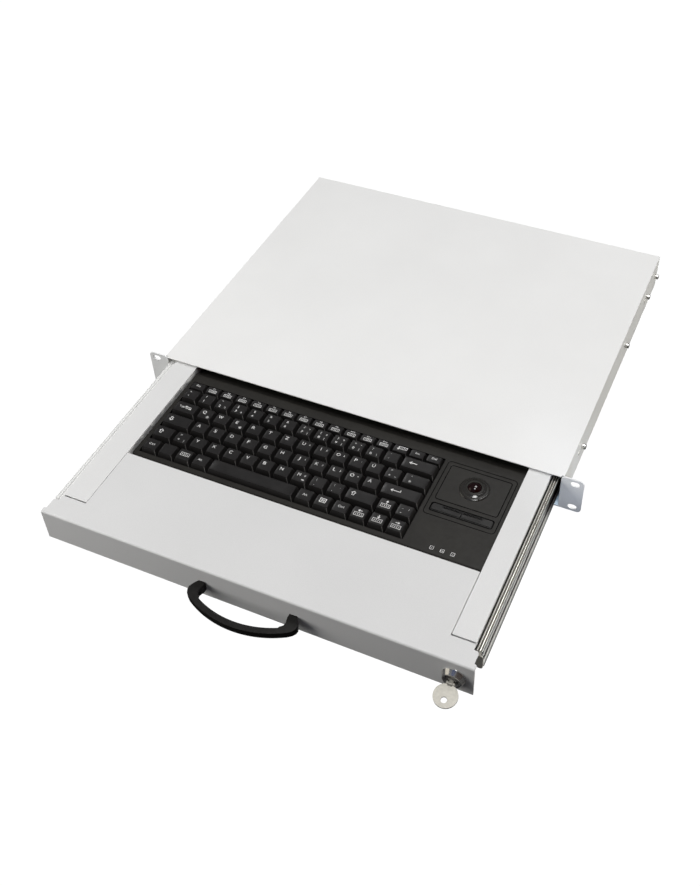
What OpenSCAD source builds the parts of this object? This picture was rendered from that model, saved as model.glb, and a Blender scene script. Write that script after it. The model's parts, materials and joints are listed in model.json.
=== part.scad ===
// Rack keyboard drawer, one rack unit high, shown pulled out.
// Axes: +X to the user's right, +Y towards the back of the rack, +Z up.
// Origin: the middle of the four ear slots, on the back face of the ears,
// which is the plane that seats on the rack posts.

/* [Rack ears] */
// Width over both ears
ear_span = 482.6; // [482:0.1:483.4]
// Height of the ears, one rack unit less its clearance
ear_h = 43.6; // [43:0.1:44]
// Distance between the left and right slots
slot_pitch_x = 465.1; // [464.8:0.1:465.4]
// Distance between the upper and lower slots
slot_pitch_z = 31.75; // [31.6:0.05:31.9]
// End-to-end length of an ear slot
slot_len = 9; // [8.6:0.2:11]
// Width of an ear slot
slot_w = 6.2; // [6:0.1:7.2]

/* [Housing] */
// Thickness of the housing sheet
sheet = 1.5; // [1.4:0.05:1.5]
// Width of the housing outside its side walls
body_w = 440.4; // [440:0.1:440.6]
// Depth of the housing behind the rack posts
body_depth = 370; // [366:1:380]
// Thickness of the cover sheet
cover_t = 1; // [0.8:0.1:1]
// Gap between a side wall and the cover flange over it
cover_gap = 0.1; // [0.1:0.05:0.2]
// Width of the cable opening in the rear wall
cable_w = 60; // [40:1:80]
// Height of the cable opening in the rear wall
cable_h = 22; // [18:1:24]

/* [Drawer] */
// How far the drawer stands open, from flush with the ears
open_by = 228.5; // [226:0.5:229]
// Width of the front panel
panel_w = 433; // [430:0.5:434]
// Height of the front panel
panel_h = 37.4; // [36.6:0.2:37.6]
// Depth of the drawer tray
tray_depth = 330; // [320:1:334]
// Front edge of the side covers, measured back from the panel face
strip_front = 26; // [25:0.5:28]
// Back edge of the palm rest, measured back from the panel face
palm_depth = 95.5; // [94:0.5:96.5]

/* [Slides] */
// Length of a slide member
slide_len = 345; // [336:1:346]
// Height of the moving slide member
slide_h = 31.8; // [30:0.2:32]
// Ball diameter
ball_d = 4.5; // [4.4:0.05:4.5]
// Balls in each of the four rows
balls_in_row = 8; // [6:1:9]

/* [Keyboard] */
// Width of one key cell
unit_x = 18.85; // [18.7:0.05:18.9]
// Depth of one key cell
unit_y = 19.05; // [18.9:0.05:19.1]
// Travel of a key
key_travel = 3; // [2:0.2:3]
// Depth of the keyboard frame below the palm rest
kb_drop = 4.5; // [4:0.1:5]
// Diameter of the trackball
track_d = 16; // [15:0.5:16]

/* [Pull handle and lock] */
// Distance between the handle's fixing screws
handle_pitch = 96; // [94:1:98]
// Reach of the handle in front of the panel
handle_reach = 32.3; // [30:0.1:33]
// Diameter of the lock's bezel
lock_bezel_d = 22.4; // [20:0.2:23]
// Diameter of the key bow
bow_d = 21.4; // [20.4:0.2:22]
// Angle that the folding key bow hangs below its blade
bow_droop = 11; // [5:1:30]

/* [Hidden] */
eps = 0.01;
// housing levels
ztop = 21.5;                         // top of the cover
zbot = -ear_h/2;                     // underside of the housing
zin  = zbot + sheet;                 // top face of the bottom plate
bx   = body_w/2;                     // outer face of the side walls
wx   = bx - sheet;                   // inner face of the side walls
cx0  = bx + cover_gap;               // inner face of the cover flanges
cx1  = cx0 + cover_t;                // outer face of the cover flanges
ear_x = ear_span/2;
// drawer levels
fy  = -sheet - open_by;              // face of the front panel
dt  = 18.7;                          // top of the palm rest
pt  = 1.5;                           // sheet of the front panel and palm rest
tt  = 1.2;                           // sheet of the tray
pb  = dt - panel_h;                  // underside of the front panel
tf  = pb;                            // underside of the tray floor
tw  = 208.7;                         // outer face of the tray walls
sy  = fy + strip_front;              // front edge of the side covers
py  = fy + palm_depth;               // back edge of the palm rest
ty  = fy + tray_depth;               // back of the tray
sxl = -183.0;                        // inner edge of the left side cover
sxr = 186.4;                         // inner edge of the right side cover
// slides
mz  = slide_h/2;
web_in = tw + 0.02;                  // tray side of the moving member
web_t  = 1.2;
lip_x  = 215.9;                      // open side of the moving member
my0 = fy + 21;                       // front end of the moving member
my1 = my0 + slide_len;
fy0 = 22;                            // front end of the fixed member
fy1 = fy0 + slide_len;
race_x = 213.3;                      // middle of the ball races
race_in = mz - 1.4;                  // race face of the moving member
fix_f = race_in - ball_d - 0.1;      // race face of the fixed member
cage_y0 = 25;                        // front of the ball cages
cage_len = 106;
pan_y = [63.5, 227.5, 318.7, 359];   // tall head screws along each side
flush_y = [52.5, 310.5];             // flat head screws along each side
scz = 1.5;                           // height of the side screws
mid_y = [-180, -60, 60];             // screws from the tray into the slides
// keyboard
kb_x0 = -181.3;
kb_x1 = 185.7;
kb_y0 = -131;                        // front of the keyboard case
kb_yf = -129.3;                      // front of the frame's top face
kb_yr = -6.8;                        // back of the frame's top face
kb_y1 = 12;                          // back of the keyboard case
kt = dt - kb_drop;                   // top face of the keyboard frame
kx0 = -176.2;                        // left edge of the key field
kyc = -114.7;                        // middle of the front row of keys
fn_y = -23.5;                        // middle of the function row
fn_u = 15*unit_x/16;
cap_h = 7.9;
cap_top = dt;
fn_top = dt - 1.5;
cap_bot = cap_top - cap_h;
plate_z = 2;                         // underside of the switch plate
tower_z = cap_bot - key_travel - 0.5;
op_x0 = kx0 - 0.6;                   // opening for the keys in the frame
op_x1 = kx0 + 15*unit_x + 0.6;
op_y0 = kyc - unit_y/2 - 0.3;
op_y1 = -16.9;
// trackball group
tb_x = 146.5;
tb_y = -42.6;
ins = [111.2, -87.3, 181.6, -17.6];  // insert: x0, y0, x1, y1
cov = [115.6, -67.1, 177.6, -21.8];  // ball cover: x0, y0, x1, y1
but = [115.5, -82.7, 177.5, -71.9];  // button slot: x0, y0, x1, y1
ball_z = 12;                         // middle of the trackball
// handle, lock and key
hx = 2.1;                            // middle of the handle
hz = -3.5;                           // height of the handle's screws
lx = 198.8;                          // lock axis
lz = -0.6;
lock_r = 8;
lock_back = fy + pt + 20;            // back end of the lock body
cam_y = lock_back + 0.3;
pin_y = fy - 7.8;                    // axis of the key's folding joint

// ---------------------------------------------------------------- helpers
module box(x0, y0, z0, x1, y1, z1) {
  translate([x0, y0, z0]) cube([x1 - x0, y1 - y0, z1 - z0]);
}
// a plate in the XY plane with round corners
module rplate(r, c, z0, z1) {
  translate([0, 0, z0]) linear_extrude(z1 - z0) rsquare(r, c);
}
// a rectangle x0, y0, x1, y1 with round corners of radius c
module rsquare(r, c) {
  union() {
    translate([r[0] + c, r[1]]) square([r[2] - r[0] - 2*c, r[3] - r[1]]);
    translate([r[0], r[1] + c]) square([r[2] - r[0], r[3] - r[1] - 2*c]);
    for (x = [r[0] + c, r[2] - c], y = [r[1] + c, r[3] - c])
      translate([x, y]) circle(r = c, $fn = 48);
  }
}
// a flat outline given in X and Z, thickened along Y from y0 to y1
module along_y(y0, y1) {
  translate([0, y1, 0]) rotate([90, 0, 0]) linear_extrude(y1 - y0) children();
}
// a flat outline given in Y and Z, thickened along X from x0 to x1
module along_x(x0, x1) {
  translate([x0, 0, 0]) rotate([90, 0, 90]) linear_extrude(x1 - x0) children();
}
module rod_y(x, z, y0, y1, r) {
  translate([x, y1, z]) rotate([90, 0, 0]) cylinder(h = y1 - y0, r = r, $fn = 64);
}
module rod_x(y, z, x0, x1, r) {
  translate([x0, y, z]) rotate([0, 90, 0]) cylinder(h = x1 - x0, r = r, $fn = 48);
}
module slot_y(x, z, y0, y1, l, w) {
  along_y(y0, y1) translate([x, z]) union() {
    square([l - w, w], center = true);
    for (s = [-1, 1]) translate([s*(l - w)/2, 0]) circle(r = w/2, $fn = 48);
  }
}
module both_sides() {
  children();
  mirror([1, 0, 0]) children();
}

// ---------------------------------------------------------------- housing
module ear() {
  difference() {
    along_y(-sheet, 0) rsquare([wx, zbot, ear_x, -zbot], 4.5);
    for (s = [-1, 1])
      slot_y(slot_pitch_x/2, s*slot_pitch_z/2, -sheet - 1, 1, slot_len, slot_w);
  }
}
module chassis() {
  color("lightsteelblue") difference() {
    union() {
      both_sides() ear();
      both_sides() box(wx, -eps, zbot, bx, body_depth, 20.2);
      box(-wx - 2.5, -sheet, zbot, wx + 2.5, 0, zin);
      box(-bx, -eps, zbot, bx, body_depth, zin);
      box(-wx - eps, body_depth - sheet, zin - eps, wx + eps, body_depth, 20.2);
    }
    // screw holes through both side walls
    both_sides() for (y = concat(pan_y, flush_y)) rod_x(y, scz, wx - 1, bx + 1, 2.1);
    // cable opening in the rear wall
    slot_y(-140, -1, body_depth - sheet - 1, body_depth + 1, cable_w, cable_h);
    // slot that the lock's cam turns into
    box(lx - 9.8, cam_y + open_by - 1.6, zbot - 1, lx + 6, cam_y + open_by + 3.6, zin + 1);
  }
}
module top_cover() {
  color("whitesmoke") difference() {
    union() {
      box(-218.4, -1.7, ztop - cover_t, 218.4, 1, ztop);
      box(-cx1, 0.3, ztop - cover_t, cx1, body_depth + 1.5, ztop);
      both_sides() box(cx0, 0.3, -20.2, cx1, body_depth + 1.5, ztop - cover_t + eps);
      box(-cx1, body_depth + 0.5, 6, cx1, body_depth + 1.5, ztop - cover_t + eps);
    }
    both_sides() for (y = concat(pan_y, flush_y)) rod_x(y, scz, cx0 - 1, cx1 + 1, 2.15);
  }
}
module cable_grommet() {
  color("black") difference() {
    union() {
      slot_y(-140, -1, body_depth - sheet - 1.6, body_depth - sheet - 0.02, cable_w + 5, cable_h + 5);
      slot_y(-140, -1, body_depth - sheet - 0.5, body_depth + 0.4, cable_w - 0.1, cable_h - 0.1);
    }
    slot_y(-140, -1, body_depth - 8, body_depth + 8, cable_w - 5, cable_h - 5);
  }
}
// cylinder head screw pointing inwards along -X, head outside the cover
module pan_screw(y) {
  difference() {
    union() {
      rod_x(y, scz, 216.4, cx1 + 0.3, 1.95);
      // tall round head with a rounded rim
      translate([cx1 + 0.02, y, scz]) rotate([0, 90, 0]) rotate_extrude($fn = 64)
        polygon([[0, 0], [2.7, 0], [2.75, 0.3], [2.75, 3.6], [2.55, 4.05], [2.1, 4.3], [0, 4.3]]);
    }
    // cross recess
    box(cx1 + 2.8, y - 1.5, scz - 0.35, cx1 + 5, y + 1.5, scz + 0.35);
    box(cx1 + 2.8, y - 0.35, scz - 1.5, cx1 + 5, y + 0.35, scz + 1.5);
  }
}
module side_pan_screws() {
  color("silver") both_sides() for (y = pan_y) pan_screw(y);
}
module side_flush_screws() {
  color("silver") both_sides() for (y = flush_y) difference() {
    union() {
      rod_x(y, scz, 216.4, cx1 + 0.4, 1.95);
      rod_x(y, scz, cx1 + 0.02, cx1 + 0.7, 2.7);
    }
    box(cx1 + 0.3, y - 1.6, scz - 0.3, cx1 + 3, y + 1.6, scz + 0.3);
  }
}

// ---------------------------------------------------------------- slides
// upper half of the moving member's section, in X and Z
module moving_half() {
  // round bend from the web, then three low ribs along the flange
  polygon([[web_in, -eps], [web_in, mz - 2.8], [web_in + 0.5, mz - 1.6], [web_in + 1.3, mz - 0.6],
    [race_x - 2.5, mz - 0.08], [race_x - 2.1, mz], [race_x - 1.7, mz - 0.12], [race_x - 1.3, mz - 0.7],
    [race_x - 0.95, mz - 0.7], [race_x - 0.55, mz - 0.1], [race_x, mz], [race_x + 0.55, mz - 0.1],
    [race_x + 0.95, mz - 0.7], [race_x + 1.3, mz - 0.7], [race_x + 1.75, mz - 0.12],
    [race_x + 2.2, mz], [lip_x - 0.1, mz - 0.15], [lip_x, mz - 0.5], [lip_x, mz - 1.1],
    [race_x + 1.8, mz - 1.5], [race_x + 1.3, race_in], [race_x - 1.3, race_in],
    [web_in + web_t + 0.5, mz - 2.1], [web_in + web_t, mz - 3], [web_in + web_t, -eps]]);
}
module moving_member() {
  difference() {
    along_y(my0, my1) union() {
      moving_half();
      mirror([0, 1]) moving_half();
    }
    // the lower flange is cut back at the front end
    box(web_in - 1, my0 - 1, -mz - 1, lip_x + 1, my0 + 7, -11);
    // access holes and screw holes in the web
    for (y = mid_y) rod_x(y, 0, web_in - 1, web_in + web_t + 1, 1.65);
    for (y = [-140, -20, 90]) rod_x(y, 0, web_in - 1, web_in + web_t + 1, 4);
  }
}
module fixed_member() {
  difference() {
    union() {
      box(wx - 1.2, fy0, -fix_f, wx - 0.02, fy1, fix_f);
      for (s = [0, 1]) mirror([0, 0, s]) box(211.4, fy0, fix_f - 1.1, wx - 1, fy1, fix_f);
    }
    for (y = concat(pan_y, flush_y)) rod_x(y, scz, wx - 3, wx + 1, 2.0);
  }
}
module cabinet_slide_right() { color("silver") fixed_member(); }
module cabinet_slide_left() { color("silver") mirror([1, 0, 0]) fixed_member(); }
module drawer_slide_right() { color("silver") moving_member(); }
module drawer_slide_left() { color("silver") mirror([1, 0, 0]) moving_member(); }
ball_z0 = (race_in + fix_f)/2;
function ball_y(i) = cage_y0 + 6 + i*(cage_len - 12)/(balls_in_row - 1);
module cage() {
  difference() {
    union() {
      box(web_in + web_t + 0.35, cage_y0, -ball_z0 - 0.4, web_in + web_t + 0.95, cage_y0 + cage_len, ball_z0 + 0.4);
      for (s = [0, 1]) mirror([0, 0, s])
        box(web_in + web_t + 0.35, cage_y0, ball_z0 - 0.4, wx - 2.2, cage_y0 + cage_len, ball_z0 + 0.4);
    }
    for (i = [0 : balls_in_row - 1], s = [-1, 1])
      translate([race_x, ball_y(i), s*ball_z0 - 1]) cylinder(h = 2, r = ball_d/2 + 0.06, $fn = 48);
  }
}
module ball_rows() {
  for (i = [0 : balls_in_row - 1], s = [-1, 1])
    translate([race_x, ball_y(i), s*ball_z0]) sphere(d = ball_d, $fn = 32);
}
module ball_cage_right() { color("dimgray") cage(); }
module ball_cage_left() { color("dimgray") mirror([1, 0, 0]) cage(); }
module slide_balls_right() { color("gainsboro") ball_rows(); }
module slide_balls_left() { color("gainsboro") mirror([1, 0, 0]) ball_rows(); }
module slide_end_stops() {
  // bent plates: a leg along the web and a front plate with round corners
  color("dimgray") both_sides() union() {
    box(web_in + web_t + 0.02, my0 + 0.2, -7.5, web_in + web_t + 1.2, my0 + 14, 7.5);
    along_y(my0 - 0.8, my0 + 0.4) union() {
      rsquare([web_in + web_t + 1, -8.2, 216.9, 9.8], 2.4);
      translate([web_in + web_t + 0.02, -7.5]) square([3.5, 16]);
    }
    // small tongue under the upper flange
    box(web_in + web_t + 0.02, my0 - 1.2, 11.2, web_in + web_t + 2.6, my0 + 3, 12.4);
    box(web_in + web_t + 0.02, my0 - 0.8, 7, web_in + web_t + 1.2, my0 + 3, 11.3);
  }
}

// ---------------------------------------------------------------- drawer
module drawer_tray() {
  color("whitesmoke") difference() {
    union() {
      box(-tw, fy + 19, tf, tw, ty, tf + tt);
      both_sides() box(tw - tt, fy + 19, tf, tw, ty, dt - pt - 0.02);
      // ledges under the outer edges of the side covers
      both_sides() box(tw - 8, sy + 1, dt - pt - tt - 0.02, tw, ty, dt - pt - 0.02);
      box(-tw, ty - tt, tf, tw, ty, dt - 6);
    }
    // slot for the lock's cam
    box(lx - 14.5, cam_y - 1.6, tf - 1, lx + 6.5, cam_y + 3.6, tf + tt + 1);
    // cable way in the back wall
    slot_y(-120, -2, ty - tt - 1, ty + 1, 60, 20);
    // screws into the slides
    both_sides() for (y = mid_y) rod_x(y, 0, tw - tt - 1, tw + 1, 1.65);
  }
}
module front_panel() {
  color("silver") difference() {
    union() {
      // upright panel with a soft bend at its top edge
      box(-panel_w/2, fy, pb, panel_w/2, fy + pt, dt - 2);
      intersection() {
        rod_x(fy + 2, dt - 2, -panel_w/2, panel_w/2, 2);
        box(-panel_w/2, fy, dt - 2, panel_w/2, fy + 2, dt);
      }
      // palm rest
      translate([0, 0, dt - pt]) linear_extrude(pt) polygon([
        [-panel_w/2, fy + 2 - eps], [panel_w/2, fy + 2 - eps], [panel_w/2, fy + 5.2],
        [214, fy + 6.4], [214, fy + 16.4], [212.6, fy + 18.2], [208.6, fy + 18.8],
        [208.6, sy - 1.5], [sxr - 0.45, sy - 1.5], [sxr - 0.45, py], [sxl + 0.45, py],
        [sxl + 0.45, sy - 1.5], [-208.6, sy - 1.5], [-208.6, fy + 18.8],
        [-212.6, fy + 18.2], [-214, fy + 16.4], [-214, fy + 6.4], [-panel_w/2, fy + 5.2]]);
      // wall under the back edge, in front of the keyboard
      box(sxl + 0.7, py - tt, tf + tt + 0.02, sxr - 0.7, py, dt - pt + eps);
      // return flange along the bottom edge
      box(-206, fy, pb, 206, fy + 18.8, pb + tt);
    }
    for (s = [-1, 1]) rod_y(hx + s*handle_pitch/2, hz, fy - 1, fy + pt + 1, 2.1);
    rod_y(lx, lz, fy - 1, fy + pt + 1, lock_r + 0.1);
  }
}
module side_cover(x_in, x_out) {
  // x_in and x_out are the inner and outer edges, both positive
  union() {
    box(x_in, sy, dt - pt, x_out, ty - 2, dt);
    box(x_in, py + 0.6, 4, x_in + tt, ty - 2, dt - pt + eps);
    box(x_in + 1.6, sy, dt - 6, tw - tt - 0.3, sy + tt, dt - pt - tt - 0.5);
    box(x_in + 1.6, sy, dt - 6, tw - 8.3, sy + tt, dt - pt + eps);
  }
}
module left_side_cover() { color("whitesmoke") mirror([1, 0, 0]) side_cover(-sxl, tw - 0.2); }
module right_side_cover() { color("whitesmoke") side_cover(sxr, tw - 0.2); }
module slide_screws() {
  color("silver") both_sides() for (y = mid_y) union() {
    rod_x(y, 0, tw - tt - 0.5, web_in + web_t - 0.1, 1.55);
    translate([tw - tt - 1.5, y, 0]) rotate([0, 90, 0]) cylinder(h = 1.48, r1 = 2.4, r2 = 3, $fn = 48);
  }
}

// ---------------------------------------------------------------- handle
module handle_plan() {
  R1 = 96; R2 = 90;
  difference() {
    union() {
      intersection() {
        translate([0, -handle_reach + R1]) circle(r = R1, $fn = 160);
        polygon([[-49.2, 0], [-52.2, -4.5], [-54, -8.5], [-54, -12], [-52.4, -15.8],
          [-49.2, -18.6], [-30, -handle_reach - 2], [30, -handle_reach - 2], [49.4, -18.6], [52.9, -15.8],
          [54.8, -12], [54.9, -8.5], [53.2, -4.5], [50, 0]]);
      }
    }
    intersection() {
      translate([0, -handle_reach + 6 + R2]) circle(r = R2, $fn = 160);
      polygon([[-42.6, 1], [-42.6, -4], [-43.8, -10], [-43.2, -13], [-40.5, -15.4], [-30, -40],
        [30, -40], [40.5, -15.4], [43.2, -13], [43.8, -10], [42.6, -4], [42.6, 1]]);
    }
  }
}
module pull_handle() {
  color("dimgray") difference() {
    intersection() {
      translate([hx, fy - 0.02, 1.6 - 10.4]) linear_extrude(10.4) handle_plan();
      along_x(-80, 80) polygon([[fy + 1, 1.6], [fy + 1, -8.8], [fy - 2, -8.6], [fy - 16, -5.4],
        [fy - 40, -5.4], [fy - 40, 1.6]]);
    }
    for (s = [-1, 1]) rod_y(hx + s*handle_pitch/2, hz, fy - 9, fy + 1, 1.6);
  }
}
module handle_screws() {
  color("silver") for (s = [-1, 1]) union() {
    rod_y(hx + s*handle_pitch/2, hz, fy - 8, fy + pt + 0.3, 1.58);
    rod_y(hx + s*handle_pitch/2, hz, fy + pt + 0.02, fy + pt + 2, 3.5);
  }
}

// ---------------------------------------------------------------- lock and key
module lock_body() {
  color("gainsboro") difference() {
    union() {
      rod_y(lx, lz, fy - 0.3, lock_back, lock_r);
      // bezel, a cone in front of the panel
      translate([lx, fy - 0.02, lz]) rotate([90, 0, 0]) cylinder(h = 1, r = lock_bezel_d/2, $fn = 96);
      translate([lx, fy - 1, lz]) rotate([90, 0, 0]) cylinder(h = 4.5, r1 = lock_bezel_d/2, r2 = 8.6, $fn = 96);
    }
    rod_y(lx, lz, fy - 10, lock_back + 1, 6.05);
    // bevelled rim round the plug
    translate([lx, fy - 4.3, lz]) rotate([90, 0, 0]) cylinder(h = 1.3, r1 = 6.05, r2 = 7.5, $fn = 96);
  }
}
module lock_nut() {
  color("silver") difference() {
    translate([lx, fy + pt + 3, lz]) rotate([90, 0, 0]) rotate([0, 0, 30]) cylinder(h = 2.9, r = 10.4, $fn = 6);
    rod_y(lx, lz, fy, fy + 10, lock_r + 0.04);
  }
}
module lock_plug() {
  color("gainsboro") difference() {
    union() {
      rod_y(lx, lz, fy - 4.1, lock_back + 0.2, 6.0);
      rod_y(lx, lz, lock_back, cam_y + 2.2, 3.5);
    }
    // keyway
    box(lx - 3.6, fy - 6, lz - 0.75, lx + 3.6, lock_back - 4, lz + 0.75);
    rod_y(lx, lz, lock_back - 3, cam_y + 4, 1.6);
  }
}
module lock_cam() {
  color("silver") difference() {
    union() {
      rod_y(lx, lz, cam_y, cam_y + 2, 7.5);
      box(lx - 17.6, cam_y, lz - 5, lx, cam_y + 2, lz + 5);
      intersection() {
        rod_y(lx, lz, cam_y, cam_y + 2, 21.6);
        box(lx - 22, cam_y, lz - 4, lx - 17, cam_y + 2, lz + 4);
      }
    }
    rod_y(lx, lz, cam_y - 1, cam_y + 3, 3.54);
  }
}
module cam_screw() {
  color("silver") union() {
    rod_y(lx, lz, lock_back - 2.8, cam_y + 2.3, 1.58);
    rod_y(lx, lz, cam_y + 2.22, cam_y + 4.4, 4.6);
  }
}
module key_blade() {
  color("silver") difference() {
    union() {
      box(lx - 3.5, fy - 4.4, lz - 0.7, lx + 3.5, lock_back - 6, lz + 0.7);
      // lug that the bow folds on
      rod_x(pin_y, lz, lx - 1.7, lx + 1.7, 1.5);
      box(lx - 1.7, pin_y, lz - 0.7, lx + 1.7, fy - 4.3, lz + 0.7);
    }
    rod_x(pin_y, lz, lx - 5, lx + 5, 0.85);
  }
}
// the bow, drawn level with the blade and then tipped down about the pin
module key_bow() {
  color("silver") translate([0, pin_y, lz]) rotate([bow_droop, 0, 0]) difference() {
    union() {
      translate([lx, -11.3, -0.8]) cylinder(h = 1.6, r = bow_d/2, $fn = 96);
      for (s = [-1, 1]) union() {
        translate([lx + s*2.85 - 0.85, 0, 0]) rotate([0, 90, 0]) cylinder(h = 1.7, r = 1.6, $fn = 48);
        translate([lx + s*2.85 - 0.85, -5, -0.8]) cube([1.7, 5, 1.6]);
      }
    }
    // window around the lug, and the key ring's hole
    translate([lx - 2, -2.3, -3]) cube([4, 6, 6]);
    translate([lx, -15.1, -2]) cylinder(h = 4, r = 2.75, $fn = 64);
    rotate([0, 90, 0]) cylinder(h = 600, r = 0.85, center = true, $fn = 48);
  }
}
module key_pivot_pin() {
  color("gray") rod_x(pin_y, lz, lx - 3.6, lx + 3.6, 0.82);
}

// ---------------------------------------------------------------- keyboard
module keyboard_base() {
  color([0.1, 0.1, 0.1]) difference() {
    union() {
      rplate([kb_x0 + 1, kb_y0, kb_x1 - 1, kb_y1], 3, tf + tt + 3, 4);
    }
    box(kb_x0 + 3.4, kb_y0 + 2.4, tf + tt + 5.4, kb_x1 - 3.4, kb_y1 - 2.4, 5);
  }
}
module keyboard_feet() {
  color("black") for (x = [kb_x0 + 22, kb_x1 - 22], y = [kb_y0 + 14, kb_y1 - 14])
    translate([x, y, tf + tt]) cylinder(h = 2.98, r = 6, $fn = 48);
}
module frame_shell() {
  difference() {
    // outer shell: flat top face with sloping front and back
    intersection() {
      rplate([kb_x0, kb_y0, kb_x1, kb_y1], 3, 4.02, kt);
      along_x(kb_x0 - 1, kb_x1 + 1) polygon([[kb_y0 - 1, 4], [kb_y0 - 1, kt - 3.2], [kb_y0, kt - 3],
        [kb_y0 + 0.3, kt - 1.4], [kb_yf, kt], [kb_yr, kt], [kb_yr + 2.4, kt - 0.8], [kb_y1, kt - 6.6],
        [kb_y1 + 1, kt - 8], [kb_y1 + 1, 4]]);
    }
    // hollow inside
    along_x(kb_x0 + 2.2, kb_x1 - 2.2) polygon([[kb_y0 + 2.2, 3], [kb_y0 + 2.2, kt - 3.4],
      [kb_yf + 1.6, kt - 2], [kb_yr - 0.6, kt - 2], [kb_y1 - 2.2, kt - 8.4], [kb_y1 - 2.2, 3]]);
    // opening for the keys
    box(op_x0, op_y0, 0, op_x1, op_y1, kt + 1);
    // seat of the trackball insert
    rplate([ins[0] - 0.5, ins[1] - 0.5, ins[2] + 0.5, ins[3] + 0.5], 4.4, 0, kt + 1);
    // indicator windows
    for (i = [0 : 2]) translate([135.2 + i*10.2, -122.9, 0]) cylinder(h = 30, r = 1.3, $fn = 32);
  }
}
module keyboard_frame() {
  color([0.16, 0.16, 0.15]) union() {
    frame_shell();
    // rim that carries the trackball insert
    difference() {
      rplate([ins[0] - 1.8, ins[1] - 1.8, ins[2] + 1.8, ins[3] + 1.8], 5, kt - 6.6, kt - 1);
      rplate([ins[0] - 0.5, ins[1] - 0.5, ins[2] + 0.5, ins[3] + 0.5], 4.4, kt - 5.02, kt + 1);
      rplate([ins[0] + 2.2, ins[1] + 2.2, ins[2] - 2.2, ins[3] - 2.2], 2.4, kt - 8, kt);
    }
  }
}
// one key cell per entry: left edge in units, width in units
row5 = [for (i = [0 : 3]) [i, 1]];
row5r = [for (i = [9 : 11]) [i, 1]];
arrows = [[12, 1], [13, 1], [14, 1]];
function cell_x(c, u = unit_x) = kx0 + (c[0] + c[1]/2)*u;
function row_y(r) = kyc + r*unit_y;
all_keys = concat(
  [for (i = [0 : 3]) [i, 1, 0]], [[4, 5, 0]], [for (i = [9 : 14]) [i, 1, 0]],
  [[0, 1.25, 1]], [for (i = [0 : 9]) [1.25 + i, 1, 1]], [[11.25, 1.75, 1], [13, 1, 1], [14, 1, 1]],
  [[0, 1.75, 2]], [for (i = [0 : 10]) [1.75 + i, 1, 2]], [[12.75, 2.25, 2]],
  [[0, 1.5, 3]], [for (i = [0 : 11]) [1.5 + i, 1, 3]], [[13.5, 1.5, 3]],
  [for (i = [0 : 12]) [i, 1, 4]], [[13, 2, 4]]);
module tower(x, y) {
  translate([x - 6.8, y - 6, plate_z + 1.9]) cube([13.6, 12, tower_z - plate_z - 1.9]);
}
module switch_plate() {
  color([0.08, 0.08, 0.09]) difference() {
    union() {
      box(op_x0 - 0.8, op_y0 - 0.8, plate_z, op_x1 + 0.8, -16.1, plate_z + 2);
      for (k = all_keys) tower(cell_x(k), row_y(k[2]));
      for (i = [0 : 15]) translate([kx0 + (i + 0.5)*fn_u - 6, fn_y - 4.6, plate_z + 1.9])
        cube([12, 9.2, tower_z - plate_z - 1.9]);
    }
    for (k = all_keys) translate([cell_x(k), row_y(k[2]), plate_z - 1]) cylinder(h = 20, r = 2.7, $fn = 32);
    for (i = [0 : 15]) translate([kx0 + (i + 0.5)*fn_u, fn_y, plate_z - 1]) cylinder(h = 20, r = 2.7, $fn = 32);
  }
}
// keycap: a hollow block with four sloping sides and a round stem
module cap(x, y, w, d, zt, h, side, front, back) {
  union() {
    difference() {
      intersection() {
        along_y(y - d/2, y + d/2) polygon([[x - w/2, zt - h], [x + w/2, zt - h], [x + w/2 - side, zt], [x - w/2 + side, zt]]);
        along_x(x - w/2, x + w/2) polygon([[y - d/2, zt - h], [y + d/2, zt - h], [y + d/2 - back, zt], [y - d/2 + front, zt]]);
      }
      box(x - w/2 + side + 0.2, y - d/2 + front + 0.2, zt - h - 1, x + w/2 - side - 0.2, y + d/2 - back - 0.2, zt - 1.6);
    }
    translate([x, y, tower_z - 1.2]) cylinder(h = zt - 1.5 - tower_z + 1.2, r = 2.6, $fn = 32);
  }
}
module key(c, r) {
  cap(cell_x(c), row_y(r), c[1]*unit_x - 1.1, unit_y - 1.3, cap_top, cap_h, 2, 2.1, 2.8);
}
module fkey(i) {
  cap(kx0 + (i + 0.5)*fn_u, fn_y, fn_u - 1.2, 11.6, fn_top, fn_top - cap_bot, 1.3, 0.7, 2.3);
}
kc = [0.15, 0.15, 0.15];
module escape_key() { color(kc) fkey(0); }
module function_keys() { color(kc) for (i = [1 : 15]) fkey(i); }
module number_keys() { color(kc) for (i = [0 : 12]) key([i, 1], 4); }
module backspace_key() { color(kc) key([13, 2], 4); }
module tab_key() { color(kc) key([0, 1.5], 3); }
module upper_letter_keys() { color(kc) for (i = [0 : 11]) key([1.5 + i, 1], 3); }
module hash_key() { color(kc) key([13.5, 1.5], 3); }
module caps_lock_key() { color(kc) key([0, 1.75], 2); }
module home_row_keys() { color(kc) for (i = [0 : 10]) key([1.75 + i, 1], 2); }
module enter_key() { color(kc) key([12.75, 2.25], 2); }
module left_shift_key() { color(kc) key([0, 1.25], 1); }
module lower_letter_keys() { color(kc) for (i = [0 : 9]) key([1.25 + i, 1], 1); }
module right_shift_key() { color(kc) key([11.25, 1.75], 1); }
module modifier_keys() { color(kc) for (c = concat(row5, row5r)) key(c, 0); }
module space_bar() { color(kc) key([4, 5], 0); }
module arrow_keys() {
  color(kc) {
    for (c = arrows) key(c, 0);
    key([13, 1], 1);
    key([14, 1], 1);
  }
}

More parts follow.
